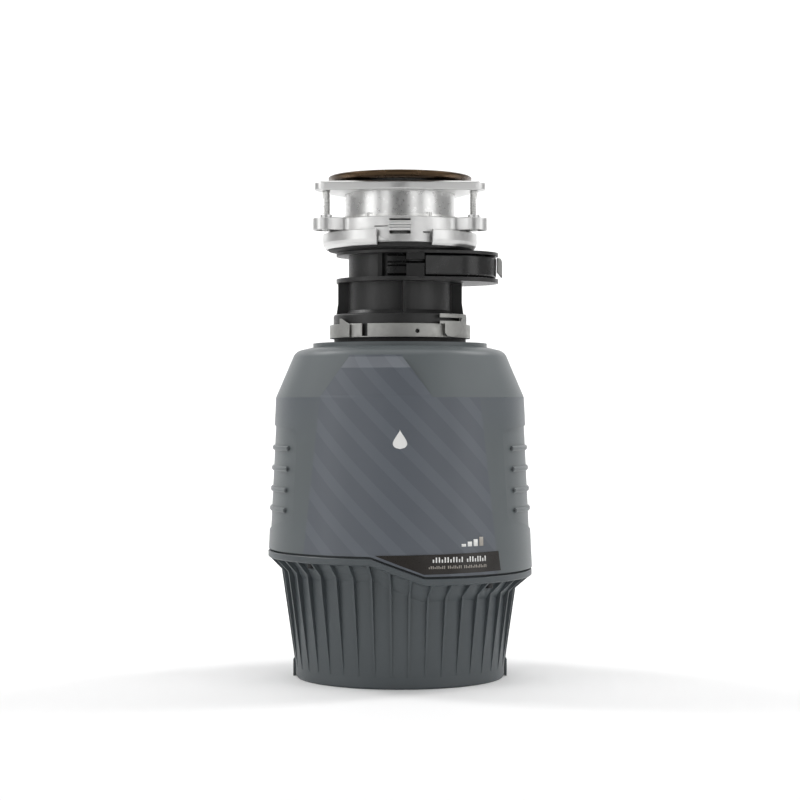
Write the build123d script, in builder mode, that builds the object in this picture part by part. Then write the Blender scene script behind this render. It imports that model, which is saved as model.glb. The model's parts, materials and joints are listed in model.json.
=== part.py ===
from build123d import *
import math
import os

# Kitchen food-waste disposer, hanging under a sink. Millimetres, +Z up.
# The origin is the centre of the hex wrench socket's access hole in the base; the front faces -Y.

os.makedirs("parts", exist_ok=True)

# ---- driving dimensions ----
SHELL_FOOT_R, SHELL_RIDGE_R = 106.0, 99.0        # outer shell radius at its foot and at its shoulder ridge
SHELL_FOOT_Z, RIDGE_Z, SHELL_TOP_Z = 76.0, 222.0, 265.0
WALL = 2.5                                       # moulded shell wall
PART_LEFT_Z, PART_RIGHT_Z = 102.5, 87.6          # stepped parting line between the shells
SHELL_GAP = 1.6
RIM_R, TONGUE_R, TONGUE_THICK = 105.1, 101.0, 2.3
RAMP_LEFT_TURN, RAMP_RIGHT_TURN = 12.5, 10.3     # angles from the middle at which the step starts and ends
RAMP_LEFT_X = -RIM_R * math.sin(math.radians(RAMP_LEFT_TURN))
RAMP_RIGHT_X = RIM_R * math.sin(math.radians(RAMP_RIGHT_TURN))
RIB_COUNT, RIB_THICK, RIB_FOOT_Z = 40, 1.6, 9.0
BASE_R = 83.2
NECK_R = 49.8                                    # outside of the grind chamber's neck
THROAT_BORE_R, COLUMN_R = 38.0, 41.0
LOBE_X, LOBE_R, DISC_R = 36.5, 42.0, 50.8        # outline of the two throat discs
SLEEVE_R, FLANGE_R = 43.8, 57.15                 # 3-1/2 in sink opening, 4-1/2 in sink flange
EAR_RADIUS, EAR_R, PLATE_EAR_R = 66.8, 10.3, 9.0     # three mounting ears
RING_TOP_Z, PLATE_Z, PLATE_TOP_Z, RIM_Z = 362.6, 383.7, 391.0, 398.2
SCREW_R = 3.175                                  # 1/4-20 mounting screws
MOTOR_R, SHAFT_R, SHAFT_FIT = 66.0, 6.35, 0.05
OUTLET_R, OUTLET_Z = 19.05, 129.0                # 1-1/2 in discharge tube, at the back
OUTLET_SEAT, OUTLET_END = 96.0, 122.0            # stretch of the tube that the trap's nut closes on
INLET_R, INLET_Z, INLET_END = 11.1, 213.0, 114.0 # 7/8 in dishwasher inlet, at the back
GRIP_HEIGHTS = (134.4, 150.0, 166.4, 182.4)
EAR_ANGLES = (90, 210, 330)
SHELL_SCREW_R, SHELL_SCREW_ANGLES = 96.5, (45, 135, 225, 315)


def shell_radius(z):
    """Outside radius of the upper shell's straight wall at height z."""
    return SHELL_FOOT_R + (SHELL_RIDGE_R - SHELL_FOOT_R) * (z - SHELL_FOOT_Z) / (RIDGE_Z - SHELL_FOOT_Z)


def parting_height(x):
    """Height of the upper shell's bottom edge, which steps down from left to right."""
    share = min(max((x - RAMP_LEFT_X) / (RAMP_RIGHT_X - RAMP_LEFT_X), 0), 1)
    return PART_LEFT_Z + (PART_RIGHT_Z - PART_LEFT_Z) * share


def rim_at(angle):
    """Height of the lower shell's rim at this angle."""
    return parting_height(RIM_R * math.cos(math.radians(angle))) - SHELL_GAP


def radial_plane(angle):
    """Upright plane through the main axis: x outwards at this angle, y up."""
    turn = math.radians(angle)
    outwards = (math.cos(turn), math.sin(turn), 0)
    return Plane((0, 0, 0), x_dir=outwards, z_dir=(math.sin(turn), -math.cos(turn), 0))


def turned(points, plane=Plane.XZ, arc=360, mode=Mode.ADD):
    """Turn a closed outline of (radius, height) points about the main axis."""
    with BuildSketch(plane) as section:
        with BuildLine():
            Polyline(*points, close=True)
        make_face()
    revolve(section.sketch, axis=Axis.Z, revolution_arc=arc, mode=mode)


def tube(outer, inner, low, high, mode=Mode.ADD):
    """A plain ring about the main axis."""
    turned([(inner, low), (outer, low), (outer, high), (inner, high)], mode=mode)


def disc(radius, low, high, spots=((0, 0),), mode=Mode.ADD):
    """Upright cylinders at these places."""
    with BuildSketch(Plane.XY.offset(low)) as rounds:
        with Locations(*spots):
            Circle(radius)
    extrude(rounds.sketch, amount=high - low, mode=mode)


def block(low, high, mode=Mode.ADD):
    """An upright block between two corners."""
    middle = tuple((a + b) / 2 for a, b in zip(low, high))
    with Locations(middle):
        Box(*[b - a for a, b in zip(low, high)], mode=mode)


def back_round(radius, near, far, x=0, z=0, mode=Mode.ADD):
    """A cylinder along +Y, from near to far."""
    with BuildSketch(Plane((0, near, 0), x_dir=(1, 0, 0), z_dir=(0, 1, 0))) as rounds:
        with Locations((x, -z)):
            Circle(radius)
    extrude(rounds.sketch, amount=far - near, mode=mode)


def around(radius, angles):
    """Places at this radius and these angles."""
    return [(radius * math.cos(math.radians(a)), radius * math.sin(math.radians(a))) for a in angles]


def front_prism(points, near=30, far=130, mode=Mode.INTERSECT):
    """A prism along -Y with this (x, z) outline."""
    with BuildSketch(Plane.XZ.offset(near)) as outline:
        with BuildLine():
            Polyline(*points, close=True)
        make_face()
    extrude(outline.sketch, amount=far - near, mode=mode)


# ---- upper shell: two-part sound shell, upper half ----
SHELL_PATH = [(SHELL_FOOT_R, SHELL_FOOT_Z), (SHELL_RIDGE_R, RIDGE_Z), (83.4, 258.6), (69.4, 261.9)]


def shell_body(inset):
    """Solid inside the upper shell's skin, moved in by this much."""
    with BuildSketch(Plane.XZ) as section:
        with BuildLine():
            path = FilletPolyline(*[(r - inset, z - inset) for r, z in SHELL_PATH], radius=[2.5, 9])
            Polyline(path @ 1, (69.4 - inset, SHELL_TOP_Z - inset), (0, SHELL_TOP_Z - inset),
                     (0, SHELL_FOOT_Z - inset), path @ 0)
        make_face()
    revolve(section.sketch, axis=Axis.Z, mode=Mode.ADD if inset == 0 else Mode.SUBTRACT)


# Raised panel on the front of the shoulder, a little left of the middle.
with BuildPart() as shoulder_panel:
    turned([(90, 221.5), (98.6, RIDGE_Z), (94.6, 244.5), (86, 253), (80, 252)])
    front_prism([(-61.1, 220), (25, 220), (25, 222), (1.8, 253), (-38.8, 253), (-61.1, 222)])

# Shallow hand-grip recesses at both sides, with four raised bars in each.
GRIP_DEPTH = 1.1
with BuildPart() as grip_recess:
    turned([(shell_radius(110) - GRIP_DEPTH, 110), (112, 110), (112, 205),
            (shell_radius(205) - GRIP_DEPTH, 205)])
    with BuildSketch(Plane.YZ.offset(-120)) as grip_outline:
        with BuildLine():
            Polyline((-62, 128.6), (0, 115.6), (62, 128.6), (62, 196.9), (0, 200.8), (-62, 196.9),
                     close=True)
        make_face()
        fillet(grip_outline.vertices(), 5)
    extrude(amount=240, mode=Mode.INTERSECT)

with BuildPart() as grip_bars:
    for height in GRIP_HEIGHTS:
        reach = shell_radius(height)
        turned([(reach - 1.8, height - 2), (reach - 0.3, height - 2), (reach + 0.6, height - 1),
                (reach + 0.6, height + 1), (reach - 0.3, height + 2), (reach - 1.8, height + 2)])
    block((-120, -51, 100), (120, 51, 205), mode=Mode.INTERSECT)

with BuildPart() as upper_shell:
    shell_body(0)
    shell_body(WALL)
    disc(50.4, 240, 280, mode=Mode.SUBTRACT)
    add(shoulder_panel.part)
    add(grip_recess.part, mode=Mode.SUBTRACT)
    add(grip_bars.part)
    with BuildSketch(Plane.XZ.offset(-130)) as parting:
        with BuildLine():
            Polyline((-130, 40), (130, 40), (130, PART_RIGHT_Z), (RAMP_RIGHT_X, PART_RIGHT_Z),
                     (RAMP_LEFT_X, PART_LEFT_Z), (-130, PART_LEFT_Z), close=True)
        make_face()
    extrude(amount=260, mode=Mode.SUBTRACT)
    with BuildSketch(Plane.XZ.offset(-130)) as outlet_window:
        with Locations((0, OUTLET_Z)):
            SlotOverall(84, 50)
        with Locations((0, INLET_Z)):
            Circle(INLET_R + 2)
    extrude(amount=50, mode=Mode.SUBTRACT)
    for angle in SHELL_SCREW_ANGLES:
        low = rim_at(angle) + 5.6
        with Locations(Location((*around(99.4, [angle])[0], low + 5), (0, 0, angle))):
            Box(6.5, 3, 10)
        disc(3.2, low, low + 10, around(SHELL_SCREW_R, [angle]))
        disc(1.6, low - 1, low + 8.5, around(SHELL_SCREW_R, [angle]), mode=Mode.SUBTRACT)
upper_shell.part.label = "upper_shell"
export_step(upper_shell.part, "parts/upper_shell.step")


# ---- lower shell: ribbed half, its rim follows the same stepped line ----
def wall_radius(z):
    """Outside radius of the ribbed wall, between the ribs."""
    return BASE_R + 0.0895 * max(z - RIB_FOOT_Z, 0)


def rib_radius(z):
    """Outside radius of a rib's edge."""
    return BASE_R + 0.1 + 0.1438 * (z - RIB_FOOT_Z)


CONE_TOP_Z, KNEE_DROP = 60.0, 18.7


def rim_section(rim):
    """Wall section from the stepped rim down to the plain cone: rim band, flare, and inner tongue."""
    knee = rim - KNEE_DROP
    return [(RIM_R - 0.6, rim), (RIM_R, rim - 0.6), (RIM_R, rim - 4.5), (RIM_R - 1, rim - 5.3),
            (97.4, rim - 6.5), (93.2, rim - 12), (wall_radius(knee), knee),
            (wall_radius(CONE_TOP_Z), CONE_TOP_Z), (wall_radius(CONE_TOP_Z) - WALL, CONE_TOP_Z),
            (wall_radius(knee) - WALL, knee), (90.9, rim - 12), (95.2, rim - 5.4),
            (TONGUE_R - TONGUE_THICK, rim - 3.4), (TONGUE_R - TONGUE_THICK, rim + 5),
            (TONGUE_R, rim + 5), (TONGUE_R, rim)]


RAMP_STEPS = 5


def rim_ramp(first, last):
    """The part of the rim between these angles, where it climbs from the low side to the high side."""
    sections = []
    for step in range(RAMP_STEPS + 1):
        angle = first + (last - first) * step / RAMP_STEPS
        with BuildSketch(radial_plane(angle)) as section:
            with BuildLine():
                Polyline(*rim_section(rim_at(angle)), close=True)
            make_face()
        sections.append(section.sketch)
    loft(sections, ruled=True)


with BuildPart() as high_rim:
    turned(rim_section(PART_LEFT_Z - SHELL_GAP), plane=radial_plane(90 + RAMP_LEFT_TURN),
           arc=180 - 2 * RAMP_LEFT_TURN)

with BuildPart() as low_rim:
    turned(rim_section(PART_RIGHT_Z - SHELL_GAP), plane=radial_plane(270 + RAMP_RIGHT_TURN),
           arc=180 - 2 * RAMP_RIGHT_TURN)

with BuildPart() as back_ramp:
    rim_ramp(90 - RAMP_RIGHT_TURN, 90 + RAMP_LEFT_TURN)

with BuildPart() as front_ramp:
    rim_ramp(270 - RAMP_LEFT_TURN, 270 + RAMP_RIGHT_TURN)

with BuildPart() as stepped_rim:
    for stretch in (high_rim, back_ramp, low_rim, front_ramp):
        add(stretch.part)

with BuildPart() as base_cone:
    turned([(80.7, 0), (BASE_R - 1.2, 0), (BASE_R, 1.6), (BASE_R, RIB_FOOT_Z),
            (wall_radius(CONE_TOP_Z), CONE_TOP_Z), (wall_radius(CONE_TOP_Z) - WALL, CONE_TOP_Z),
            (80.7, RIB_FOOT_Z)])

with BuildPart() as ribs:
    for number in range(RIB_COUNT):
        angle = 360 / RIB_COUNT * (number + 0.5)
        rim = rim_at(angle)
        head = rim - 15.2
        with BuildSketch(radial_plane(angle)) as blade:
            with BuildLine():
                Polyline((BASE_R - 1, RIB_FOOT_Z), (BASE_R + 0.1, RIB_FOOT_Z), (rib_radius(head), head),
                         (RIM_R - 0.6, rim - 4.8), (RIM_R - 3, rim - 4.4), (96.4, rim - 6.1),
                         (92.2, rim - 12), (wall_radius(rim - KNEE_DROP) - 1, rim - KNEE_DROP), close=True)
            make_face()
        extrude(blade.sketch, amount=RIB_THICK / 2, both=True)

with BuildPart() as lower_shell:
    add(stepped_rim.part)
    add(base_cone.part)
    for angle in SHELL_SCREW_ANGLES:
        rim = rim_at(angle)
        spot = around(SHELL_SCREW_R, [angle])
        disc(4.4, rim - 6, rim - 2.5, spot)
        disc(3.4, rim - 22, rim - 6, spot, mode=Mode.SUBTRACT)
        disc(1.8, rim - 22, rim - 1, spot, mode=Mode.SUBTRACT)
    add(ribs.part)
lower_shell.part.label = "lower_shell"
export_step(lower_shell.part, "parts/lower_shell.step")

with BuildPart() as shell_screws:
    for angle in SHELL_SCREW_ANGLES:
        spot = around(SHELL_SCREW_R, [angle])
        disc(2.8, rim_at(angle) - 9.8, rim_at(angle) - 6.1, spot)
        disc(1.5, rim_at(angle) - 6.1, rim_at(angle) + 13, spot)
shell_screws.part.label = "shell_screws"
export_step(shell_screws.part, "parts/shell_screws.step")

with BuildPart() as base_clips:
    for side in (-1, 1):
        with BuildSketch(Plane.XZ) as clip_side:
            with BuildLine():
                Polyline((side * 83.4, 0), (side * 85.2, 0), (side * 85.2, 13), (side * 84.8, 14),
                         (side * 84, 14), (side * 83.4, RIB_FOOT_Z), close=True)
            make_face()
        extrude(clip_side.sketch, amount=3.5, both=True)
base_clips.part.label = "base_clips"
export_step(base_clips.part, "parts/base_clips.step")

# Dark nameplate that follows the parting line on the front of the upper shell.
with BuildPart() as front_label:
    turned([(shell_radius(85) + 0.05, 85), (shell_radius(85) + 0.4, 85),
            (shell_radius(110) + 0.4, 110), (shell_radius(110) + 0.05, 110)])
    front_prism([(-19, 103.3), (18.1, 89.2), (77, 90), (75.2, 104.9)])
front_label.part.label = "front_label"
export_step(front_label.part, "parts/front_label.step")

with BuildPart() as sound_liner:
    tube(94.5, 86, 122, 210)
    block((-40, 60, 104), (40, 110, 156), mode=Mode.SUBTRACT)
    back_round(INLET_R + 2, 60, 110, z=INLET_Z, mode=Mode.SUBTRACT)
sound_liner.part.label = "sound_liner"
export_step(sound_liner.part, "parts/sound_liner.step")

# ---- grind chamber and grinding parts ----
BELL_FLANGE_Z, CHAMBER_Z = 146.0, 151.0
FLANGE_BOLTS = around(78, (0, 60, 120, 180, 240, 300))

with BuildPart() as grind_chamber:
    turned([(71.4, CHAMBER_Z), (82, CHAMBER_Z), (82, 154.5), (73.6, 154.5), (73.6, 230), (68, 243),
            (NECK_R, 253), (NECK_R, 276), (46.5, 276), (46.5, 251), (66, 241), (71.4, 229)])
    disc(2.2, 150, 156, FLANGE_BOLTS, mode=Mode.SUBTRACT)
    back_round(9, 60, 90, z=INLET_Z, mode=Mode.SUBTRACT)
grind_chamber.part.label = "grind_chamber"
export_step(grind_chamber.part, "parts/grind_chamber.step")

with BuildPart() as chamber_gasket:
    tube(81, 71.4, 150, CHAMBER_Z)
    disc(2.2, 149, 152, FLANGE_BOLTS, mode=Mode.SUBTRACT)
chamber_gasket.part.label = "chamber_gasket"
export_step(chamber_gasket.part, "parts/chamber_gasket.step")

with BuildPart() as chamber_bolts:
    disc(1.9, 142, 154.5, FLANGE_BOLTS)
    with BuildSketch(Plane.XY.offset(154.6)) as heads:
        with Locations(*FLANGE_BOLTS):
            RegularPolygon(3.6, 6)
    extrude(amount=3.2)
    disc(1.9, 154.4, 154.7, FLANGE_BOLTS)
chamber_bolts.part.label = "chamber_bolts"
export_step(chamber_bolts.part, "parts/chamber_bolts.step")

with BuildPart() as shredder_ring:
    tube(71.2, 67.2, 151.2, 176)
    with PolarLocations(67.2, 36):
        with Locations((0, 0, 160)):
            Box(1.6, 2.2, 14, mode=Mode.SUBTRACT)
shredder_ring.part.label = "shredder_ring"
export_step(shredder_ring.part, "parts/shredder_ring.step")

LUG_PIVOTS = around(42, (0, 180))
with BuildPart() as turntable:
    disc(66.2, 151, 154)
    tube(14, SHAFT_R, 144, 151)
    disc(SHAFT_R, 150, 155, mode=Mode.SUBTRACT)
    disc(3.2, 150, 155, LUG_PIVOTS, mode=Mode.SUBTRACT)
    with PolarLocations(58, 12, start_angle=15):
        Cylinder(2, 400, mode=Mode.SUBTRACT)
turntable.part.label = "turntable"
export_step(turntable.part, "parts/turntable.step")


def swivel_lug():
    """Tapered swinging grinding lug with an upturned nose, its pivot hole at the origin of the plane."""
    with BuildSketch(Plane.XY.offset(154.4)) as outline:
        Circle(8)
        with Locations((15.5, 0)):
            Circle(6)
        make_hull()
        Circle(3.25, mode=Mode.SUBTRACT)
    extrude(outline.sketch, amount=4)
    block((10.5, -4.5, 158.4), (20, 4.5, 168))


with BuildPart() as lug_shape:
    swivel_lug()
for letter, turn, spot in (("a", 0, LUG_PIVOTS[0]), ("b", 180, LUG_PIVOTS[1])):
    with BuildPart() as grinding_lug:
        add(lug_shape.part.moved(Location((spot[0], spot[1], 0), (0, 0, turn))))
    grinding_lug.part.label = f"grinding_lug_{letter}"
    export_step(grinding_lug.part, f"parts/grinding_lug_{letter}.step")

with BuildPart() as lug_pins:
    disc(3.19, 149, 158.8, LUG_PIVOTS)
    disc(5.5, 158.8, 160.4, LUG_PIVOTS)
lug_pins.part.label = "lug_pins"
export_step(lug_pins.part, "parts/lug_pins.step")

with BuildPart() as turntable_nut:
    with BuildSketch(Plane.XY.offset(154.1)):
        RegularPolygon(14, 6)
    extrude(amount=9)
    disc(11, 163.1, 165)
    disc(SHAFT_R + 0.01, 154, 163, mode=Mode.SUBTRACT)
turntable_nut.part.label = "turntable_nut"
export_step(turntable_nut.part, "parts/turntable_nut.step")

# ---- motor ----
EARS = around(70, (45, 135, 225, 315))
with BuildPart() as upper_end_bell:
    tube(MOTOR_R, 62.8, 62, 106)
    disc(5.5, 96, 108, EARS)
    tube(72, 16, 106, 110)
    tube(16, 11.05, 94, 112)
    tube(72, 68.5, 110, BELL_FLANGE_Z)
    tube(82, 68.5, BELL_FLANGE_Z, 150)
    back_round(21.5, 66, 84, z=OUTLET_Z)
    with BuildSketch(Plane.XZ.offset(-84)) as outlet_face:
        with Locations((0, OUTLET_Z)):
            SlotOverall(74, 34)
    extrude(amount=6)
    tube(68.5, 20, 110, 160, mode=Mode.SUBTRACT)
    block((-90, 40, 150), (90, 100, 170), mode=Mode.SUBTRACT)
    back_round(16.8, 60, 90, z=OUTLET_Z, mode=Mode.SUBTRACT)
    back_round(2.6, 70, 90, x=-29, z=OUTLET_Z, mode=Mode.SUBTRACT)
    back_round(2.6, 70, 90, x=29, z=OUTLET_Z, mode=Mode.SUBTRACT)
    disc(2.4, 90, 105, EARS, mode=Mode.SUBTRACT)
    disc(1.95, 138, 152, FLANGE_BOLTS, mode=Mode.SUBTRACT)
upper_end_bell.part.label = "upper_end_bell"
export_step(upper_end_bell.part, "parts/upper_end_bell.step")

with BuildPart() as lower_end_frame:
    tube(MOTOR_R, 8, 14, 17)
    tube(MOTOR_R, 62.8, 17, 60)
    tube(16, 11.05, 17, 28)
    disc(5.5, 14, 24, EARS)
    disc(5, 2.6, 14, around(58, (45, 90, 135, 225, 315)))
    disc(2.4, 10, 30, EARS, mode=Mode.SUBTRACT)
    disc(1.85, 0, 13, around(58, (45, 90, 135, 225, 315)), mode=Mode.SUBTRACT)
lower_end_frame.part.label = "lower_end_frame"
export_step(lower_end_frame.part, "parts/lower_end_frame.step")

for name, low, high in (("lower_bearing", 17.2, 28), ("upper_bearing", 95, 106)):
    with BuildPart() as bearing:
        tube(11, SHAFT_R + SHAFT_FIT, low, high)
    bearing.part.label = name
    export_step(bearing.part, f"parts/{name}.step")

with BuildPart() as shaft_seal:
    tube(11, SHAFT_R + SHAFT_FIT, 106.2, 112)
    tube(14, 9, 112, 114)
shaft_seal.part.label = "shaft_seal"
export_step(shaft_seal.part, "parts/shaft_seal.step")

with BuildPart() as thrust_washer:
    tube(12, SHAFT_R + 0.3, 28.2, 29.6)
thrust_washer.part.label = "thrust_washer"
export_step(thrust_washer.part, "parts/thrust_washer.step")

with BuildPart() as motor_shaft:
    disc(SHAFT_R, 15, 163)
    with BuildSketch(Plane.XY.offset(15)):
        RegularPolygon(3.175, 6, major_radius=False)
    extrude(amount=12, mode=Mode.SUBTRACT)
motor_shaft.part.label = "motor_shaft"
export_step(motor_shaft.part, "parts/motor_shaft.step")

with BuildPart() as rotor_core:
    tube(31.5, SHAFT_R, 42, 82)
rotor_core.part.label = "rotor_core"
export_step(rotor_core.part, "parts/rotor_core.step")

with BuildPart() as rotor_end_rings:
    tube(31, 20, 37, 42)
    tube(31, 20, 82, 87)
rotor_end_rings.part.label = "rotor_end_rings"
export_step(rotor_end_rings.part, "parts/rotor_end_rings.step")

with BuildPart() as cooling_fan:
    tube(14, SHAFT_R, 30, 34)
    tube(28, 14, 30, 31.5)
    with PolarLocations(21, 10):
        with Locations((0, 0, 33.5)):
            Box(14, 1.2, 4)
cooling_fan.part.label = "cooling_fan"
export_step(cooling_fan.part, "parts/cooling_fan.step")

SLOTS = 12
with BuildPart() as stator_core:
    tube(62.4, 32, 42, 82)
    with PolarLocations(44, SLOTS):
        with Locations((0, 0, 62)):
            Box(16, 9, 60, mode=Mode.SUBTRACT)
stator_core.part.label = "stator_core"
export_step(stator_core.part, "parts/stator_core.step")

with BuildPart() as stator_windings:
    tube(56, 36, 36, 41.8)
    tube(56, 36, 82.2, 92)
    with PolarLocations(44, SLOTS):
        with Locations((0, 0, 62)):
            Box(15, 8, 44)
stator_windings.part.label = "stator_windings"
export_step(stator_windings.part, "parts/stator_windings.step")

with BuildPart() as motor_bolts:
    disc(2.2, 13.9, 104, EARS)
    with BuildSketch(Plane.XY.offset(11)):
        with Locations(*EARS):
            RegularPolygon(4, 6)
    extrude(amount=2.9)
motor_bolts.part.label = "motor_bolts"
export_step(motor_bolts.part, "parts/motor_bolts.step")

with BuildPart() as start_relay:
    block((-12, -78, 22), (12, -67, 48))
    block((-8, -76, 48), (-5, -75, 54))
    block((5, -76, 48), (8, -75, 54))
start_relay.part.label = "start_relay"
export_step(start_relay.part, "parts/start_relay.step")

# ---- base: cover, overload protector with reset button, terminal compartment ----
BUTTON_SPOT, CABLE_SPOT, TERMINAL_SPOTS = (0, -38), (-46, 0), ((24, 4), (62, 4))
BASE_SCREWS = around(58, (45, 135, 225, 315))
with BuildPart() as bottom_cover:
    disc(80.4, 0, 2.5)
    disc(8, -1, 3, mode=Mode.SUBTRACT)
    disc(5, -1, 3, (BUTTON_SPOT,), mode=Mode.SUBTRACT)
    disc(11.1, -1, 3, (CABLE_SPOT,), mode=Mode.SUBTRACT)
    disc(3.4, -1, 3, TERMINAL_SPOTS, mode=Mode.SUBTRACT)
    disc(3.8, -1, 3, BASE_SCREWS + around(58, (90,)), mode=Mode.SUBTRACT)
    with BuildSketch(Plane.XY.offset(-1)) as terminal_opening:
        with Locations((43, 4)):
            RectangleRounded(26, 24, 3)
    extrude(amount=4, mode=Mode.SUBTRACT)
bottom_cover.part.label = "bottom_cover"
export_step(bottom_cover.part, "parts/bottom_cover.step")

with BuildPart() as base_screws:
    disc(3.5, 0.4, 2.5, BASE_SCREWS)
    disc(1.8, 2.5, 12, BASE_SCREWS)
base_screws.part.label = "base_screws"
export_step(base_screws.part, "parts/base_screws.step")

with BuildPart() as ground_screw:
    with BuildSketch(Plane.XY.offset(0.4)):
        with Locations(*around(58, (90,))):
            RegularPolygon(3.5, 6)
    extrude(amount=2.1)
    disc(1.8, 2.5, 11, around(58, (90,)))
ground_screw.part.label = "ground_screw"
export_step(ground_screw.part, "parts/ground_screw.step")

with BuildPart() as terminal_cover:
    with BuildSketch(Plane.XY.offset(2.6)) as lid_outline:
        with Locations((43, 4)):
            RectangleRounded(48, 30, 4)
    extrude(amount=1.4)
    disc(1.8, 2, 5, TERMINAL_SPOTS, mode=Mode.SUBTRACT)
terminal_cover.part.label = "terminal_cover"
export_step(terminal_cover.part, "parts/terminal_cover.step")

with BuildPart() as terminal_screws:
    disc(3, 0.5, 2.6, TERMINAL_SPOTS)
    disc(1.6, 2.6, 9, TERMINAL_SPOTS)
terminal_screws.part.label = "terminal_screws"
export_step(terminal_screws.part, "parts/terminal_screws.step")

with BuildPart() as overload_protector:
    disc(11, 2.6, 13.8, (BUTTON_SPOT,))
    disc(4.3, 2, 11.5, (BUTTON_SPOT,), mode=Mode.SUBTRACT)
overload_protector.part.label = "overload_protector"
export_step(overload_protector.part, "parts/overload_protector.step")

with BuildPart() as reset_button:
    disc(3.9, 0.8, 7.5, (BUTTON_SPOT,))
    fillet(reset_button.edges().group_by(Axis.Z)[0], 0.6)
reset_button.part.label = "reset_button"
export_step(reset_button.part, "parts/reset_button.step")

# ---- discharge outlet and dishwasher inlet, at the back ----
BOLT_XS = (-29, 29)
with BuildPart() as outlet_gasket:
    back_round(21, 84.1, 86, z=OUTLET_Z)
    back_round(16.8, 80, 90, z=OUTLET_Z, mode=Mode.SUBTRACT)
outlet_gasket.part.label = "outlet_gasket"
export_step(outlet_gasket.part, "parts/outlet_gasket.step")

with BuildPart() as discharge_tube:
    back_round(21, 86.1, 88, z=OUTLET_Z)
    back_round(OUTLET_R - 0.4, 88, OUTLET_SEAT, z=OUTLET_Z)
    back_round(OUTLET_R, OUTLET_SEAT, OUTLET_END, z=OUTLET_Z)
    back_round(16.8, 80, 130, z=OUTLET_Z, mode=Mode.SUBTRACT)
discharge_tube.part.label = "discharge_tube"
export_step(discharge_tube.part, "parts/discharge_tube.step")

with BuildPart() as outlet_flange:
    with BuildSketch(Plane.XZ.offset(-91.5)) as clamp:
        with Locations((0, OUTLET_Z)):
            SlotOverall(74, 44)
    extrude(amount=3.4)
    back_round(OUTLET_R + 0.3, 80, 100, z=OUTLET_Z, mode=Mode.SUBTRACT)
    for spot in BOLT_XS:
        back_round(2.7, 80, 100, x=spot, z=OUTLET_Z, mode=Mode.SUBTRACT)
outlet_flange.part.label = "outlet_flange"
export_step(outlet_flange.part, "parts/outlet_flange.step")

with BuildPart() as outlet_bolts:
    for spot in BOLT_XS:
        back_round(2.5, 76, 91.6, x=spot, z=OUTLET_Z)
        back_round(4.5, 91.6, 95, x=spot, z=OUTLET_Z)
outlet_bolts.part.label = "outlet_bolts"
export_step(outlet_bolts.part, "parts/outlet_bolts.step")

with BuildPart() as dishwasher_inlet:
    back_round(8.8, 70, 74, z=INLET_Z)
    back_round(13.6, 73.8, 76, z=INLET_Z)
    back_round(INLET_R, 76, INLET_END, z=INLET_Z)
    back_round(7.5, 60, 120, z=INLET_Z, mode=Mode.SUBTRACT)
dishwasher_inlet.part.label = "dishwasher_inlet"
export_step(dishwasher_inlet.part, "parts/dishwasher_inlet.step")

with BuildPart() as inlet_plug:
    back_round(7.4, 80, 83, z=INLET_Z)
inlet_plug.part.label = "inlet_plug"
export_step(inlet_plug.part, "parts/inlet_plug.step")

# ---- throat: gasket, steel lock ring, housing, cover sensor ----
with BuildPart() as throat_gasket:
    tube(52.6, 50.2, SHELL_TOP_Z + 0.05, 268.8)
throat_gasket.part.label = "throat_gasket"
export_step(throat_gasket.part, "parts/throat_gasket.step")

LOCK_R, SLOT_ANGLE, PIN_HOLE_ANGLE = 56.2, -119.2, -76.1
# Turning tabs bent out of the lock ring: inner and outer radius, and the tab's outline from the front.
TAB_SHAPES = (
    (LOCK_R - 1, LOCK_R + 1.8,
     [(-47.3, 283.7), (-45.5, 283.5), (-41.5, 280.5), (-39.4, 279.4), (-39.4, 269), (-44, 269), (-46.6, 272),
      (-47.3, 277)]),
    (LOCK_R - 2.2, LOCK_R + 1.2,
     [(30.9, 284.2), (30.9, 287.3), (52, 287.3), (52, 278), (46.4, 278), (46.4, 284.2)]),
    (LOCK_R - 1.2, LOCK_R + 3,
     [(30.9, 281.5), (47.6, 281.5), (48.6, 284.4), (49.4, 284.4), (48.6, 274), (45.5, 270.2), (42, 269),
      (37, 269.6), (35, 272), (35, 279.3), (30.9, 279.3)]))
lock_tabs = []
for inner, outer, outline in TAB_SHAPES:
    with BuildPart() as tab:
        tube(outer, inner, 268.9, 288)
        front_prism(outline, near=20, far=70)
    lock_tabs.append(tab)

with BuildPart() as lower_lock_ring:
    turned([(51.2, 268.9), (LOCK_R, 268.9), (LOCK_R, 279.2), (LOCK_R - 0.3, 279.5), (54.6, 279.5),
            (54.6, 270.1), (51.2, 270.1)])
    # vertical slot and lock-pin hole
    with Locations(Location((*around(LOCK_R, [SLOT_ANGLE])[0], 275.6), (0, 0, SLOT_ANGLE))):
        Box(8, 5, 12, mode=Mode.SUBTRACT)
    pin_turn = math.radians(PIN_HOLE_ANGLE)
    hole_axis = Plane((0, 0, 273.5), z_dir=(math.cos(pin_turn), math.sin(pin_turn), 0))
    with BuildSketch(hole_axis.offset(50)) as pin_hole:
        Circle(1.7)
    extrude(pin_hole.sketch, amount=15, mode=Mode.SUBTRACT)
    for tab in lock_tabs:
        add(tab.part)
lower_lock_ring.part.label = "lower_lock_ring"
export_step(lower_lock_ring.part, "parts/lower_lock_ring.step")


def lobe_outline(height, inset=0):
    """Outline of a throat disc: round, with a wide lobe towards +X."""
    with BuildSketch(Plane.XY.offset(height)) as outline:
        Circle(DISC_R - inset)
        with Locations((LOBE_X, 0)):
            Circle(LOBE_R - inset)
        make_hull()
    return outline.sketch


DISC_LEVELS = ((313.0, 316.2), (334.5, 337.0))
with BuildPart() as throat_discs:
    for low, high in DISC_LEVELS:
        extrude(lobe_outline(low), amount=high - low)
        disc(COLUMN_R - 1.5, low, high, mode=Mode.SUBTRACT)

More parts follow.
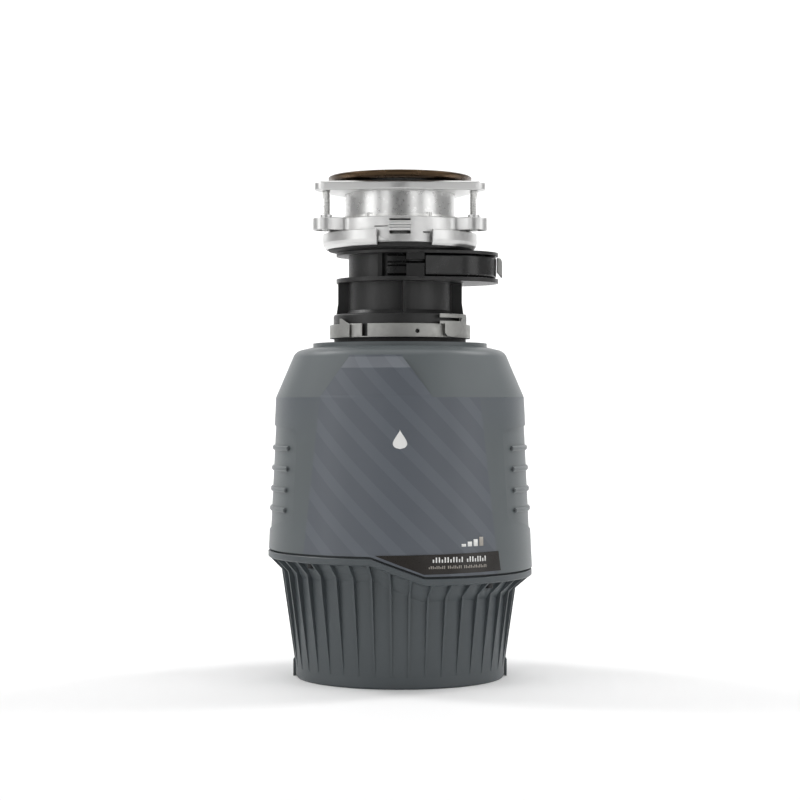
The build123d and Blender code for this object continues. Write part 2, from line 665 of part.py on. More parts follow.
with BuildPart() as throat_housing:
    turned([(50.3, 270.4), (53.1, 270.4), (53.1, 286.4), (52.6, 287.5), (51.5, 288), (43, 288),
            (COLUMN_R, 291), (COLUMN_R, 337), (THROAT_BORE_R, 337), (THROAT_BORE_R, 279), (50.3, 279)])
    add(throat_discs.part)
    for angle in (-86, 0, 90, 180):
        with BuildSketch(radial_plane(angle)) as fin:
            with BuildLine():
                Polyline((COLUMN_R - 1, 287), (51, 287), (50.2, 292), (49.5, 297), (49.5, 314),
                         (COLUMN_R - 1, 314), close=True)
            make_face()
        extrude(fin.sketch, amount=1.25, both=True)
    # front tabs above and below the sensor, and the wall of the recess beside them
    block((5, -48.8, 315), (19, -46.8, 326.3))
    block((5, -48.8, 329.3), (19, -46.8, 335.5))
    block((-17.5, -44.5, 315), (-14, -38.5, 335.5))
throat_housing.part.label = "throat_housing"
export_step(throat_housing.part, "parts/throat_housing.step")

# The sensor's two-decked front arm, behind the throat's front tabs.
with BuildPart() as sensor_arm:
    turned([(41.6, 317.2), (45.2, 317.2), (46.4, 318.6), (46.4, 324), (45.2, 325.4), (44, 325.4),
            (44, 326.8), (45.2, 326.8), (46.4, 328.2), (46.4, 332), (45.2, 333.4), (41.6, 333.4)])
    block((-9.8, -50, 315), (22, -30, 335), mode=Mode.INTERSECT)

with BuildPart() as sensor_housing:
    extrude(lobe_outline(316.7, inset=1.6), amount=17.3)
    fillet(sensor_housing.edges().filter_by(Plane.XY), 2.2)
    disc(COLUMN_R + 0.4, 310, 340, mode=Mode.SUBTRACT)
    block((-60, -60, 310), (20, 60, 340), mode=Mode.SUBTRACT)
    add(sensor_arm.part)
sensor_housing.part.label = "sensor_housing"
export_step(sensor_housing.part, "parts/sensor_housing.step")

with BuildPart() as sensor_latch:
    with BuildSketch(Plane.XZ.offset(-7)) as latch_side:
        with BuildLine():
            Polyline((77.6, 333.3), (80.2, 332.6), (81.4, 330), (81.4, 317.6), (77.6, 322.5), close=True)
        make_face()
    extrude(amount=14)
sensor_latch.part.label = "sensor_latch"
export_step(sensor_latch.part, "parts/sensor_latch.step")

# ---- sink mount ----
CUSHION_TOP_Z = 342.0
with BuildPart() as mount_cushion:
    turned([(38.3, 337.1), (50, 337.1), (56.6, 338.6), (57.4, 340), (57.4, 341.6), (57, CUSHION_TOP_Z),
            (38.3, CUSHION_TOP_Z)])
mount_cushion.part.label = "mount_cushion"
export_step(mount_cushion.part, "parts/mount_cushion.step")

SKIRT_R = 56.0
# Cam ramp on the skirt, which the lock ring climbs.
with BuildPart() as cam_ramp:
    tube(57.8, SKIRT_R - 1, 343, 348)
    front_prism([(-24.1, 343.4), (-8.8, 343.4), (-17.1, 347.3)], near=40, far=70)

with BuildPart() as upper_mounting_ring:
    with BuildSketch(Plane.XY.offset(352.9)) as ring_outline:
        Circle(SKIRT_R)
        with PolarLocations(EAR_RADIUS - 16, 3, start_angle=90):
            SlotCenterToCenter(32, 2 * EAR_R)
        corners = [v for v in ring_outline.vertices() if abs(v.X ** 2 + v.Y ** 2 - SKIRT_R ** 2) < 1]
        fillet(corners, 6)
    extrude(amount=RING_TOP_Z - 352.9)
    fillet(upper_mounting_ring.faces().sort_by(Axis.Z)[-1].edges(), 1)
    with BuildSketch(Plane.XY.offset(352)) as ring_hollow:
        Circle(SKIRT_R - 2)
        with PolarLocations(EAR_RADIUS - 16, 3, start_angle=90):
            SlotCenterToCenter(32, 2 * EAR_R - 4)
    extrude(amount=360.4 - 352, mode=Mode.SUBTRACT)
    disc(45.4, 350, 370, mode=Mode.SUBTRACT)
    tube(SKIRT_R, SKIRT_R - 2, 342.4, 361.2)
    disc(4.5, 361.3, 365, around(EAR_RADIUS, EAR_ANGLES))
    disc(SCREW_R + 0.1, 350, 366, around(EAR_RADIUS, EAR_ANGLES), mode=Mode.SUBTRACT)
    # front window with its rolled strap, and the small slits beside it
    block((-8.2, -60, 348.4), (8.2, -50, 360.4), mode=Mode.SUBTRACT)
    with BuildSketch(Plane.YZ.offset(-8.4)) as strap:
        with Locations((-54.6, 357.2)):
            Circle(1.9)
        with Locations((-54.2, 353)):
            Circle(2.5)
        with Locations((-53.6, 355)):
            Rectangle(1.4, 8)
    extrude(amount=16.8)
    block((-19.6, -60, 354.1), (-9.5, -50, 354.8), mode=Mode.SUBTRACT)
    block((17.9, -60, 349.4), (23.3, -48, 350.4), mode=Mode.SUBTRACT)
    add(cam_ramp.part)
upper_mounting_ring.part.label = "upper_mounting_ring"
export_step(upper_mounting_ring.part, "parts/upper_mounting_ring.step")

RING_GAP_LEFT, RING_GAP_RIGHT = 17.3, 24.7       # the ring is open at the front, by these angles
with BuildPart() as upper_lock_ring:
    turned([(58.3, 339.6), (59.4, 340.1), (60.8, 342), (61.5, 344.6), (61.5, 351.8), (61.1, 352.2),
            (59.3, 352.2), (59.3, 344), (58.3, 342)],
           plane=radial_plane(-90 + RING_GAP_RIGHT), arc=360 - RING_GAP_RIGHT - RING_GAP_LEFT)
upper_lock_ring.part.label = "upper_lock_ring"
export_step(upper_lock_ring.part, "parts/upper_lock_ring.step")

with BuildPart() as mounting_screws:
    disc(SCREW_R, 352.2, 385.6, around(EAR_RADIUS, EAR_ANGLES))
mounting_screws.part.label = "mounting_screws"
export_step(mounting_screws.part, "parts/mounting_screws.step")

with BuildPart() as snap_ring:
    tube(46.4, 44, 363.4, 365.4)
    block((-6, 30, 360), (6, 60, 368), mode=Mode.SUBTRACT)
    disc(1.7, 363.2, 366.4, around(46, (-90 - 33, -90 + 30)))
    disc(44, 360, 370, mode=Mode.SUBTRACT)
snap_ring.part.label = "snap_ring"
export_step(snap_ring.part, "parts/snap_ring.step")

with BuildPart() as backup_ring:
    with BuildSketch(Plane.XY.offset(PLATE_Z)):
        Circle(50.5)
        with Locations(*around(EAR_RADIUS, EAR_ANGLES)):
            Circle(PLATE_EAR_R)
        make_hull()
        Circle(SLEEVE_R + 0.3, mode=Mode.SUBTRACT)
    extrude(amount=PLATE_TOP_Z - PLATE_Z)
    fillet(backup_ring.faces().sort_by(Axis.Z)[-1].outer_wire().edges(), 2.2)
    fillet(backup_ring.faces().sort_by(Axis.Z)[0].outer_wire().edges(), 1.2)
    disc(SCREW_R + 0.2, PLATE_Z - 1, 386.2, around(EAR_RADIUS, EAR_ANGLES), mode=Mode.SUBTRACT)
backup_ring.part.label = "backup_ring"
export_step(backup_ring.part, "parts/backup_ring.step")

with BuildPart() as sink_gasket:
    low = PLATE_TOP_Z + 0.05
    turned([(SLEEVE_R + 0.4, low), (50, low), (50.6, 391.8), (SLEEVE_R + 0.6, 391.8)])
sink_gasket.part.label = "sink_gasket"
export_step(sink_gasket.part, "parts/sink_gasket.step")

SLEEVE_BORE = 42.0
with BuildPart() as sink_flange:
    with BuildSketch(Plane.XZ) as flange_section:
        with BuildLine():
            Polyline((SLEEVE_R, 343), (SLEEVE_R, 392.0), (50.8, 392.0))
            Spline((50.8, 392.0), (54.6, 393.2), (FLANGE_R, 396.2))
            Line((FLANGE_R, 396.2), (FLANGE_R, 397.2))
            ThreePointArc((FLANGE_R, 397.2), (56.4, RIM_Z - 0.3), (55, RIM_Z))
            Spline((55, RIM_Z), (50, 396.8), (46, 394.6), (SLEEVE_BORE, 388))
            Polyline((SLEEVE_BORE, 388), (SLEEVE_BORE, 343), (SLEEVE_R, 343))
        make_face()
    revolve(axis=Axis.Z)
sink_flange.part.label = "sink_flange"
export_step(sink_flange.part, "parts/sink_flange.step")

# ---- sink cover that starts the motor: cap, carrier tube, magnets, seal ----
COVER_R = 36.0
with BuildPart() as cover_body:
    tube(COVER_R, COVER_R - 2.4, 322, 386)
    tube(40, COVER_R - 6, 386, 389)
    with PolarLocations(COVER_R, 4, start_angle=45):
        with Locations((0, 0, 360)):
            Box(10, 30, 36, mode=Mode.SUBTRACT)
    for side in (-1, 1):
        low, high = sorted((side * (COVER_R - 4.6), side * (COVER_R - 1)))
        block((-6, low, 322), (6, high, 336))
        low, high = sorted((side * (COVER_R - 3.6), side * (COVER_R + 1)))
        block((-4.6, low, 324), (4.6, high, 334), mode=Mode.SUBTRACT)
cover_body.part.label = "cover_body"
export_step(cover_body.part, "parts/cover_body.step")

with BuildPart() as cover_magnets:
    for side in (-1, 1):
        low, high = sorted((side * (COVER_R - 3.5), side * (COVER_R - 0.6)))
        block((-4.5, low, 324.1), (4.5, high, 333.9))
cover_magnets.part.label = "cover_magnets"
export_step(cover_magnets.part, "parts/cover_magnets.step")

with BuildPart() as cover_seal:
    turned([(36.5, 382.3), (40.6, 382.3), (41.5, 383.9), (40.6, 385.6), (36.5, 385.6)])
cover_seal.part.label = "cover_seal"
export_step(cover_seal.part, "parts/cover_seal.step")

with BuildPart() as cover_cap:
    turned([(0, 389.1), (41, 389.1), (41.2, 390), (39, 391.6), (12, 391.6), (9, 394), (9.5, 397), (8, 398),
            (0, 398)])
cover_cap.part.label = "cover_cap"
export_step(cover_cap.part, "parts/cover_cap.step")
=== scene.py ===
import json
import math

import bmesh
import bpy
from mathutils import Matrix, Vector


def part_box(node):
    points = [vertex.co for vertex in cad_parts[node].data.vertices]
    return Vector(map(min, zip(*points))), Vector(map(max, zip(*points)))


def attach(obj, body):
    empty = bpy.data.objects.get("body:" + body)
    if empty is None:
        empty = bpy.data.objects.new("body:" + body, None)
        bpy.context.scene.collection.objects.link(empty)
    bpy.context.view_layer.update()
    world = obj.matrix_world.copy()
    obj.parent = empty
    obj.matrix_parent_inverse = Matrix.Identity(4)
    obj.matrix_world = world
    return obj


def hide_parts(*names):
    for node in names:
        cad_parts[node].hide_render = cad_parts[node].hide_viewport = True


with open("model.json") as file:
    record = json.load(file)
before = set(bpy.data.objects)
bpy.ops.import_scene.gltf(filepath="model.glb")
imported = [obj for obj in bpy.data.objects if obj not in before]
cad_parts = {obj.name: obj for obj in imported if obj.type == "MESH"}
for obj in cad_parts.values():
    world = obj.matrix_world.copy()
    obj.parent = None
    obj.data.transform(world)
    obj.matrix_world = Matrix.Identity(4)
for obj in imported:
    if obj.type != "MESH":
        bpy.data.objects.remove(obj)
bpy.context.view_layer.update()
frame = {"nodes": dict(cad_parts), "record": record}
MM = 0.001

# ---------------------------------------------------------------- camera, light, floor
CAMERA_DISTANCE, CAMERA_HEIGHT = 1.600, 0.220
WORLD_FRONT, WORLD_REST = 0.16, 0.42
SWEEP_START, SWEEP_RADIUS, SWEEP_STEPS, SWEEP_TOP = 2.0, 1.2, 8, 5
FLOOR_FRONT, FLOOR_HALF_WIDTH, FLOOR_GREY = -6, 8, 0.93


def add_camera():
    """Level camera, straight at the front."""
    data = bpy.data.cameras.new("camera")
    data.lens, data.sensor_width = 90, 36
    camera = bpy.data.objects.new("camera", data)
    camera.location = (0, -CAMERA_DISTANCE, CAMERA_HEIGHT)
    camera.rotation_euler = (math.radians(90), 0, 0)
    bpy.context.collection.objects.link(camera)
    bpy.context.scene.camera = camera


def add_light(name, place, aim, size, power):
    """A soft rectangular studio light."""
    data = bpy.data.lights.new(name, "AREA")
    data.shape = "RECTANGLE"
    data.size, data.size_y = size
    data.energy = power
    light = bpy.data.objects.new(name, data)
    light.location = place
    light.rotation_euler = (Vector(aim) - Vector(place)).to_track_quat("-Z", "Y").to_euler()
    bpy.context.collection.objects.link(light)


def add_studio():
    """Soft boxes at both sides, a bright backdrop, and surroundings that are darker in front."""
    add_light("left_box", (-1.6, -0.8, 0.9), (0, 0, 0.24), (0.9, 1.8), 8.4)
    add_light("right_box", (1.6, -0.8, 0.9), (0, 0, 0.24), (0.9, 1.8), 7.6)
    add_light("left_strip", (-0.9, -1.6, 0.7), (0, 0, 0.34), (0.5, 0.9), 2.2)
    add_light("right_strip", (0.9, -1.6, 0.7), (0, 0, 0.34), (0.5, 0.9), 2.2)
    add_light("top_box", (0, -0.2, 2.0), (0, 0, 0.2), (1.4, 1.4), 9)
    add_light("backdrop_left", (-2.0, 1.0, 2.4), (-0.6, 3.1, 0.6), (1.6, 1.0), 60)
    add_light("backdrop_right", (2.0, 1.0, 2.4), (0.6, 3.1, 0.6), (1.6, 1.0), 60)
    world = bpy.data.worlds.new("studio")
    bpy.context.scene.world = world
    world.use_nodes = True
    tree = world.node_tree
    coordinate = tree.nodes.new("ShaderNodeTexCoord")
    split = tree.nodes.new("ShaderNodeSeparateXYZ")
    tree.links.new(coordinate.outputs["Generated"], split.inputs[0])
    ramp = tree.nodes.new("ShaderNodeMapRange")
    values = {"From Min": -1.0, "From Max": 0.2, "To Min": WORLD_FRONT, "To Max": WORLD_REST}
    for name, number in values.items():
        ramp.inputs[name].default_value = number
    tree.links.new(split.outputs["Y"], ramp.inputs["Value"])
    tree.links.new(ramp.outputs["Result"], tree.nodes["Background"].inputs["Strength"])
    tree.nodes["Background"].inputs["Color"].default_value = (1, 1, 1, 1)
    bpy.context.scene.view_settings.view_transform = "Standard"


def add_floor():
    """The floor and the wall behind, one smooth sweep."""
    profile = [(FLOOR_FRONT, 0), (SWEEP_START, 0)]
    for step in range(1, SWEEP_STEPS + 1):
        turn = math.radians(90 * step / SWEEP_STEPS)
        profile.append((SWEEP_START + SWEEP_RADIUS * math.sin(turn), SWEEP_RADIUS - SWEEP_RADIUS * math.cos(turn)))
    profile.append((SWEEP_START + SWEEP_RADIUS, SWEEP_TOP))
    mesh = bpy.data.meshes.new("floor")
    rows = [[(x, y, z) for y, z in profile] for x in (-FLOOR_HALF_WIDTH, FLOOR_HALF_WIDTH)]
    count = len(profile)
    faces = [(i, count + i, count + i + 1, i + 1) for i in range(count - 1)]
    mesh.from_pydata(rows[0] + rows[1], [], faces)
    mesh.polygons.foreach_set("use_smooth", [True] * len(faces))
    floor = bpy.data.objects.new("floor", mesh)
    bpy.context.collection.objects.link(floor)
    material = bpy.data.materials.new("floor_paper")
    material.use_nodes = True
    shader = material.node_tree.nodes["Principled BSDF"]
    shader.inputs["Base Color"].default_value = (FLOOR_GREY, FLOOR_GREY, FLOOR_GREY, 1)
    shader.inputs["Roughness"].default_value = 0.8
    mesh.materials.append(material)


# ---------------------------------------------------------------- material helpers
def linear(code):
    """Linear colour from a web colour."""
    parts = [int(code[i:i + 2], 16) / 255 for i in (1, 3, 5)]
    return tuple(c / 12.92 if c <= 0.04045 else ((c + 0.055) / 1.055) ** 2.4 for c in parts) + (1,)


class Graph:
    """Short ways to write a material's nodes."""

    def __init__(self, name):
        self.material = bpy.data.materials.new(name)
        self.material.use_nodes = True
        self.tree = self.material.node_tree
        self.shader = self.tree.nodes["Principled BSDF"]
        self.place = self.node("ShaderNodeTexCoord").outputs["Object"]

    def node(self, kind, **values):
        made = self.tree.nodes.new(kind)
        for key, value in values.items():
            setattr(made, key, value)
        return made

    def feed(self, socket, value):
        if isinstance(value, bpy.types.NodeSocket):
            self.tree.links.new(value, socket)
        else:
            socket.default_value = value

    def math(self, kind, *values, clamp=False):
        made = self.node("ShaderNodeMath", operation=kind, use_clamp=clamp)
        for socket, value in zip(made.inputs, values):
            self.feed(socket, value)
        return made.outputs[0]

    def mix(self, share, first, second, blend="MIX"):
        made = self.node("ShaderNodeMix", data_type="RGBA", blend_type=blend)
        self.feed(made.inputs["Factor"], share)
        self.feed(made.inputs["A"], first)
        self.feed(made.inputs["B"], second)
        return made.outputs["Result"]

    def noise(self, scale, detail=3, stretch=(1, 1, 1)):
        mapping = self.node("ShaderNodeMapping")
        mapping.inputs["Scale"].default_value = stretch
        self.feed(mapping.inputs["Vector"], self.place)
        made = self.node("ShaderNodeTexNoise")
        made.inputs["Scale"].default_value = scale
        made.inputs["Detail"].default_value = detail
        self.feed(made.inputs["Vector"], mapping.outputs[0])
        return made.outputs["Fac"]

    def remap(self, value, low, high, out_low=0, out_high=1):
        made = self.node("ShaderNodeMapRange")
        for name, number in zip(("From Min", "From Max", "To Min", "To Max"), (low, high, out_low, out_high)):
            made.inputs[name].default_value = number
        self.feed(made.inputs["Value"], value)
        return made.outputs["Result"]

    def bump(self, height, distance, strength=1.0, radius=None):
        made = self.node("ShaderNodeBump")
        made.inputs["Strength"].default_value = strength
        made.inputs["Distance"].default_value = distance
        self.feed(made.inputs["Height"], height)
        if radius:
            edge = self.node("ShaderNodeBevel", samples=4)
            edge.inputs["Radius"].default_value = radius
            self.feed(made.inputs["Normal"], edge.outputs[0])
        self.feed(self.shader.inputs["Normal"], made.outputs[0])


def shade(color, factor):
    """The colour made darker or lighter."""
    return tuple(min(c * factor, 1) for c in color[:3]) + (1,)


def finish(graph, color, rough, spread=0.06, vary=0.08, grain=900, depth=0.00004, stretch=(1, 1, 1),
           radius=None, metal=0.0):
    """Colour that varies softly, roughness that varies finely, and a surface grain."""
    cloud = graph.noise(14, 4)
    if isinstance(color, tuple):
        color = graph.mix(graph.remap(cloud, 0.3, 0.7), shade(color, 1 - vary), shade(color, 1 + vary))
    graph.feed(graph.shader.inputs["Base Color"], color)
    fine = graph.noise(grain, 2, stretch)
    graph.feed(graph.shader.inputs["Roughness"], graph.remap(fine, 0.3, 0.7, rough - spread, rough + spread))
    graph.shader.inputs["Metallic"].default_value = metal
    if depth or radius:
        graph.bump(fine, depth, radius=radius)
    return graph.material


LIP_LOW, LIP_HIGH = 0.3914, 0.3918


def flange_material():
    """Dark bronze lip on a bright drawn sleeve."""
    graph = Graph("bronze_lip_bright_sleeve")
    split = graph.node("ShaderNodeSeparateXYZ")
    graph.feed(split.inputs[0], graph.place)
    lip = graph.remap(split.outputs["Z"], LIP_LOW, LIP_HIGH)
    color = graph.mix(lip, linear("#d3d3d2"), linear("#4a3b2c"))
    return finish(graph, color, 0.3, spread=0.04, grain=300, depth=0, metal=1.0)


def plastic(name, code, rough=0.45, **more):
    return finish(Graph(name), linear(code), rough, **more)


def metal(name, code, rough=0.25, **more):
    return finish(Graph(name), linear(code), rough, metal=1.0, **more)


# ---------------------------------------------------------------- printed pattern on the front of the shell
PRINT_RADIUS, PRINT_MIDDLE_Z = 0.102, 0.160
RIDGE_Z, PANEL_TOP_Z = 0.2221, 0.2545
SHELL_SIDE, SHELL_PRINT, STRIPE_TINT = "#595f61", "#565b62", "#676c74"
# Plain parallel stripes, evenly spaced across the rising diagonal (mm), and how strongly they tint.
STRIPE_PITCH, STRIPE_WIDTH, STRIPE_COUNT, STRIPE_START, STRIPE_SHARE = 20, 8, 9, -84, 0.35


def shell_material():
    """Slate-grey moulded shell; the front has a cooler zone with parallel stripes."""
    graph = Graph("shell_grey_print")
    split = graph.node("ShaderNodeSeparateXYZ")
    graph.feed(split.inputs[0], graph.place)
    x, y, z = split.outputs
    angle = graph.math("ARCTAN2", x, graph.math("MULTIPLY", y, -1.0))
    around = graph.math("MULTIPLY", angle, PRINT_RADIUS)
    up = graph.math("SUBTRACT", z, PRINT_MIDDLE_Z)
    rise = graph.math("MULTIPLY", graph.math("ADD", around, up), 0.7071)
    half_width = graph.remap(z, 0.100, 0.222, math.radians(45), math.radians(38))
    edge = graph.math("SUBTRACT", half_width, graph.math("ABSOLUTE", angle))
    wall_zone = graph.math("MULTIPLY", graph.remap(edge, -0.01, 0.01), graph.math("LESS_THAN", z, RIDGE_Z))
    rise_share = graph.remap(z, 0.222, 0.253)
    panel_left = graph.math("MULTIPLY_ADD", rise_share, 0.0223, -0.0611)
    panel_right = graph.math("MULTIPLY_ADD", rise_share, -0.0232, 0.025)
    panel_zone = graph.math("MULTIPLY", graph.math("GREATER_THAN", x, panel_left),
                            graph.math("LESS_THAN", x, panel_right))
    panel_zone = graph.math("MULTIPLY", panel_zone, graph.math("GREATER_THAN", z, RIDGE_Z))
    panel_zone = graph.math("MULTIPLY", panel_zone, graph.math("LESS_THAN", z, PANEL_TOP_Z))
    zone = graph.math("MULTIPLY", graph.math("ADD", wall_zone, panel_zone), graph.math("LESS_THAN", y, 0.0))

    side, cool = linear(SHELL_SIDE), linear(SHELL_PRINT)
    color = graph.mix(graph.noise(9, 2), shade(cool, 0.92), shade(cool, 1.06))
    for number in range(STRIPE_COUNT):
        low = STRIPE_START + STRIPE_PITCH * number
        stripe = graph.math("MULTIPLY", graph.math("GREATER_THAN", rise, low * MM),
                            graph.math("LESS_THAN", rise, (low + STRIPE_WIDTH) * MM))
        color = graph.mix(graph.math("MULTIPLY", stripe, STRIPE_SHARE), color, linear(STRIPE_TINT))
    plain = graph.mix(graph.remap(graph.noise(14, 4), 0.3, 0.7), shade(side, 0.96), shade(side, 1.04))
    below_ridge = graph.math("LESS_THAN", z, RIDGE_Z)
    near_ridge = graph.math("MULTIPLY", graph.remap(z, 0.185, 0.222, 0, 0.55), below_ridge)
    plain = graph.mix(near_ridge, plain, cool)
    return finish(graph, graph.mix(zone, plain, color), 0.42, spread=0.05, grain=1400, depth=0.00002)


# ---------------------------------------------------------------- mesh helpers
def make_piece(name, points, faces, body, material, smooth=True):
    """A mesh piece that rides on a body."""
    mesh = bpy.data.meshes.new(name)
    mesh.from_pydata(points, [], faces)
    mesh.validate()
    bm = bmesh.new()
    bm.from_mesh(mesh)
    bmesh.ops.remove_doubles(bm, verts=bm.verts, dist=1e-6)
    bmesh.ops.recalc_face_normals(bm, faces=bm.faces)
    bm.to_mesh(mesh)
    bm.free()
    mesh.polygons.foreach_set("use_smooth", [smooth] * len(mesh.polygons))
    mesh.materials.append(material)
    piece = bpy.data.objects.new(name, mesh)
    bpy.context.collection.objects.link(piece)
    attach(piece, body)
    return piece


SHELL_FOOT, SHELL_RIDGE = (0.1060, 0.076), (0.0990, 0.222)
GRIP_HALF_LENGTH, GRIP_HEIGHTS = 0.0523, (134.4, 150.0, 166.4, 182.4)


def shell_radius(z):
    """Radius of the upper shell's skin at a height."""
    share = (z - SHELL_FOOT[1]) / (SHELL_RIDGE[1] - SHELL_FOOT[1])
    return SHELL_FOOT[0] + (SHELL_RIDGE[0] - SHELL_FOOT[0]) * share


def on_shell(around, z, lift):
    """Point on the front of the upper shell: distance round from the middle, height, height off the skin."""
    radius = shell_radius(z) + lift
    angle = around / PRINT_RADIUS
    return (radius * math.sin(angle), -radius * math.cos(angle), z)


def decal_grid(outline_rows, lift, thick):
    """Closed thin patch on the shell from rows of (left, right, z); returns points and faces."""
    steps = 10
    points, faces = [], []
    for level in (lift, lift - thick):
        for left, right, z in outline_rows:
            points += [on_shell(left + (right - left) * i / steps, z, level) for i in range(steps + 1)]
    rows, wide = len(outline_rows), steps + 1
    half = rows * wide
    for r in range(rows - 1):
        for i in range(steps):
            a = r * wide + i
            faces.append((a, a + 1, a + 1 + wide, a + wide))
            faces.append((half + a, half + a + wide, half + a + 1 + wide, half + a + 1))
    border = list(range(wide)) + [r * wide + wide - 1 for r in range(1, rows)]
    border += [(rows - 1) * wide + i for i in range(wide - 2, -1, -1)]
    border += [r * wide for r in range(rows - 2, 0, -1)]
    for first, second in zip(border, border[1:] + border[:1]):
        faces.append((first, half + first, half + second, second))
    return points, faces


def decal(name, rows, material, lift=0.00025, thick=0.0003):
    points, faces = decal_grid(rows, lift, thick)
    return make_piece(name, points, faces, "housing", material)


def drop_rows(centre, size, count=20):
    """Rows of a water drop: round below, drawn to a tip above."""
    rows = []
    for step in range(count + 1):
        height = step / count
        half = size * 0.5 * math.sin(math.pi * min(height * 1.15, 1) ** 0.6) * (1 - 0.35 * height)
        half = max(half, 1e-5)
        rows.append((centre[0] - half, centre[0] + half, centre[1] + size * (height - 0.42) * 1.35))
    return rows


def bar_rows(left, right, low, high):
    """Rows of a straight bar."""
    return [(left, right, low), (left, right, high)]


# Tally strokes on the nameplate: height, left, right, pitch and stroke height (mm).
STROKE_ROWS = ((98.0, 24, 69, 2.25, 4.0), (93.4, 21, 70, 1.45, 2.2))
PLATE_LIFT = 0.00068


def add_decals(white, pale):
    """A plain water drop, a four-step power gauge, and tally strokes on the nameplate."""
    decal("water_drop", drop_rows((0, 190 * MM), 12 * MM), white)
    for step in range(4):
        left = (47 + 5.2 * step) * MM
        material = white if step < 3 else pale
        rows = bar_rows(left, left + 3.6 * MM, 109.5 * MM, (111.5 + 1.6 * step) * MM)
        decal(f"power_step_{step}", rows, material)
    for row, (z, left, right, pitch, tall) in enumerate(STROKE_ROWS):
        count = int((right - left) / pitch)
        for number in range(count):
            if number in (count * 4 // 7, count * 2 // 7 if row else -1):
                continue
            start = (left + pitch * number) * MM
            height = tall * (1.0 if number * 5 % 3 else 0.6)
            rows = bar_rows(start, start + pitch * 0.42 * MM, z * MM, (z + height) * MM)
            material = pale if row else white
            decal(f"plate_stroke_{row}_{number}", rows, material, lift=PLATE_LIFT)


def add_grip_dimples(material):
    """A small dimple at each end of every grip bar, coloured dark as painted shade of a small hole."""
    for side in (-1, 1):
        for end in (-1, 1):
            for number, z in enumerate(GRIP_HEIGHTS):
                y = end * GRIP_HALF_LENGTH
                x = side * math.sqrt(shell_radius(z * MM) ** 2 - y ** 2)
                out = Vector((x, y, 0)).normalized()
                across = Vector((-out.y, out.x, 0))
                centre = Vector((x, y, z * MM)) - out * 0.0003
                points = [tuple(centre + out * 0.0001)]
                for i in range(12):
                    turn = 2 * math.pi * i / 12
                    spoke = across * math.cos(turn) * 0.0010 + Vector((0, 0, 1)) * math.sin(turn) * 0.0012
                    points.append(tuple(centre + spoke + out * 0.0003))
                faces = [(0, 1 + i, 1 + (i + 1) % 12) for i in range(12)]
                back = len(points)
                points.append(tuple(centre - out * 0.0006))
                faces += [(back, 1 + (i + 1) % 12, 1 + i) for i in range(12)]
                name = f"grip_dimple_{'rl'[side < 0]}{'bf'[end < 0]}{number}"
                make_piece(name, points, faces, "housing", material)


EAR_RADIUS = 0.0668


def add_screw_threads(material):
    """The three mounting screws with their rolled thread, in place of the plain rods."""
    low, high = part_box("mounting_screws")
    pitch, depth, radius, sides = 1.27 * MM, 0.42 * MM, 3.16 * MM, 20
    rings = int((high[2] - low[2]) / pitch * 8)
    points, faces = [], []
    for angle in (90, 210, 330):
        x = EAR_RADIUS * math.cos(math.radians(angle))
        y = EAR_RADIUS * math.sin(math.radians(angle))
        start = len(points)
        for ring in range(rings + 1):
            z = low[2] + (high[2] - low[2]) * ring / rings
            for side in range(sides):
                turn = 2 * math.pi * side / sides
                phase = ((z - low[2]) / pitch - side / sides) % 1
                r = radius - depth * abs(2 * phase - 1)
                points.append((x + r * math.cos(turn), y + r * math.sin(turn), z))
        for ring in range(rings):
            for side in range(sides):
                a, b = start + ring * sides + side, start + ring * sides + (side + 1) % sides
                faces.append((a, b, b + sides, a + sides))
        faces.append(tuple(start + side for side in reversed(range(sides))))
        faces.append(tuple(start + rings * sides + side for side in range(sides)))
    piece = make_piece("threaded_screws", points, faces, "housing", material, smooth=False)
    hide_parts("mounting_screws")


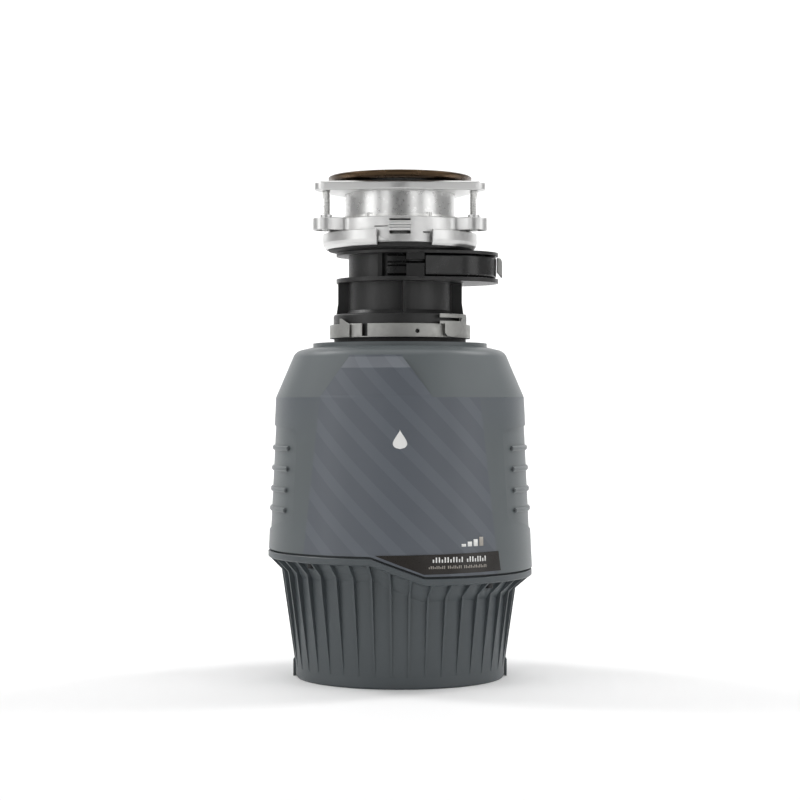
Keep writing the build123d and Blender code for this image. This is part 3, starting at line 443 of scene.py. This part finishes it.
# ---------------------------------------------------------------- materials for every CAD node
def node_materials():
    """Material by record slot."""
    black = plastic("throat_black", "#191919", 0.42, grain=700, depth=0.00003, radius=0.0005)
    return {
        "shell_grey": shell_material(),
        "shell_dark": plastic("shell_dark", "#484e51", 0.46, vary=0.04, grain=1400, depth=0.00002),
        "label_dark": plastic("label_foil", "#19140f", 0.32, grain=2000, depth=0.00001),
        "throat_black": black,
        "sensor_black": plastic("sensor_gloss", "#090909", 0.28, spread=0.03, grain=90, depth=0),
        "latch_grey": plastic("latch_grey", "#a9a9a7", 0.5, radius=0.0004),
        "rubber_black": plastic("rubber", "#151515", 0.62, grain=500, depth=0.00005),
        "steel_band": metal("rolled_steel", "#a3a3a0", 0.48, spread=0.1, vary=0.1, grain=260, depth=0.00003,
                            radius=0.0004),
        "zinc_bright": metal("bright_zinc", "#d6d6d5", 0.38, spread=0.05, vary=0.03, grain=180, depth=0.00001,
                             radius=0.0006),
        "screw_steel": metal("screw_steel", "#dcdcda", 0.32, grain=900, depth=0.00001),
        "flange_bronze": flange_material(),
        "screw_black": plastic("black_oxide", "#17181a", 0.4),
        "cover_black": plastic("cover_black", "#1b1b1b", 0.3, grain=900),
        "magnet": metal("nickel", "#a8a49a", 0.25),
        "foam": plastic("foam", "#c9c7bf", 0.9, spread=0.05, grain=240, depth=0.0003),
        "chamber_plastic": plastic("chamber_plastic", "#38393b", 0.55, grain=500, depth=0.00005),
        "stainless": metal("stainless", "#b6b5b1", 0.3, grain=220, stretch=(1, 1, 9), depth=0.00002),
        "cast_alloy": metal("die_cast", "#a2a2a0", 0.5, spread=0.1, grain=420, depth=0.00012),
        "bearing_steel": metal("ground_steel", "#a9a9ab", 0.2, grain=500, stretch=(1, 1, 6), depth=0.00001),
        "lamination": metal("laminations", "#5c5c5e", 0.5, grain=300, stretch=(0.1, 0.1, 12), depth=0.0001),
        "copper_wire": metal("enamelled_copper", "#a4522b", 0.35, grain=260, stretch=(0.2, 0.2, 8), depth=0.0002),
        "fan_plastic": plastic("fan_plastic", "#2c2c2c", 0.5),
        "relay_plastic": plastic("phenolic", "#1d1b1a", 0.5),
        "button_red": plastic("button_red", "#b3161a", 0.35),
        "base_plate": finish(Graph("base_paint"), linear("#3d4144"), 0.5, grain=600, depth=0.00006),
        "ground_green": plastic("ground_green", "#1c6b37", 0.4),
        "outlet_plastic": plastic("outlet_plastic", "#232323", 0.5, grain=600, depth=0.00005, radius=0.0004),
    }


def dress_nodes(materials):
    """Give every CAD node the material of its slot."""
    slots = {row["node"]: row["material_slot"] for row in frame["record"]["subparts"]}
    slots["shell_screws"] = "screw_black"
    for name, node in frame["nodes"].items():
        for index in range(len(node.material_slots)):
            node.material_slots[index].material = materials[slots[name]]


add_camera()
add_studio()
add_floor()
materials = node_materials()
dress_nodes(materials)
print_white = plastic("print_white", "#e9e9e7", 0.5, vary=0.02, depth=0.000005)
print_pale = plastic("print_pale", "#a39d95", 0.5, vary=0.03, depth=0.000005)
# The dimples' dark colour is painted shade: it stands in for the shade inside the small holes at the grip bar
# ends.
dimple_painted_shade = plastic("dimple_painted_shade", "#23272a", 0.6)
add_decals(print_white, print_pale)
add_grip_dimples(dimple_painted_shade)
add_screw_threads(materials["screw_steel"])
